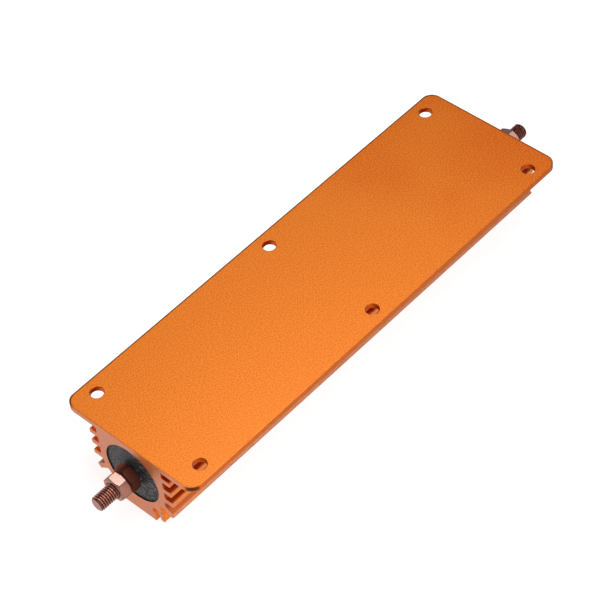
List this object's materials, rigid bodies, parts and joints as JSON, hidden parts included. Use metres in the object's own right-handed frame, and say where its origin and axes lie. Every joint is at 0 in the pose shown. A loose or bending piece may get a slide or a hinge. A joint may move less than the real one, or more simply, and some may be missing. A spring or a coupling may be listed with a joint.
{
  "type": "housed power resistor",
  "caption": "Long power resistor in a finned, orange anodised extrusion with a flat mounting plate, round cement-filled bore and a threaded stud with hexagon nuts at each end.",
  "frame": {"origin": "middle of the length and the width, on the flat foot that the housing rests on", "axes": "+X along the length towards the right-hand terminal, +Y across the width, +Z out of the mounting face of the plate"},
  "size_m": [0.194, 0.052, 0.0296],
  "materials": {
    "anodised_aluminium": "satin orange anodised, cut ends paler",
    "cement": "rough dark grey cement with fine pores",
    "core_ceramic": "unglazed cream ceramic",
    "resistance_alloy": "dull drawn ribbon",
    "cap_steel": "pressed sheet steel",
    "stud_metal": "dull copper brown",
    "dark_nut_metal": "dark copper brown",
    "bright_nut_metal": "bright copper"
  },
  "bodies": {
    "root": {"housing": "anodised_aluminium", "cement_filling": "cement", "ceramic_core": "core_ceramic", "resistance_winding": "resistance_alloy", "end_cap_left": "cap_steel", "end_cap_right": "cap_steel", "terminal_stud_left": "stud_metal", "terminal_stud_right": "stud_metal", "inner_nut_left": "dark_nut_metal", "inner_nut_right": "dark_nut_metal", "outer_nut_left": "bright_nut_metal", "outer_nut_right": "bright_nut_metal"}
  },
  "joints": []
}
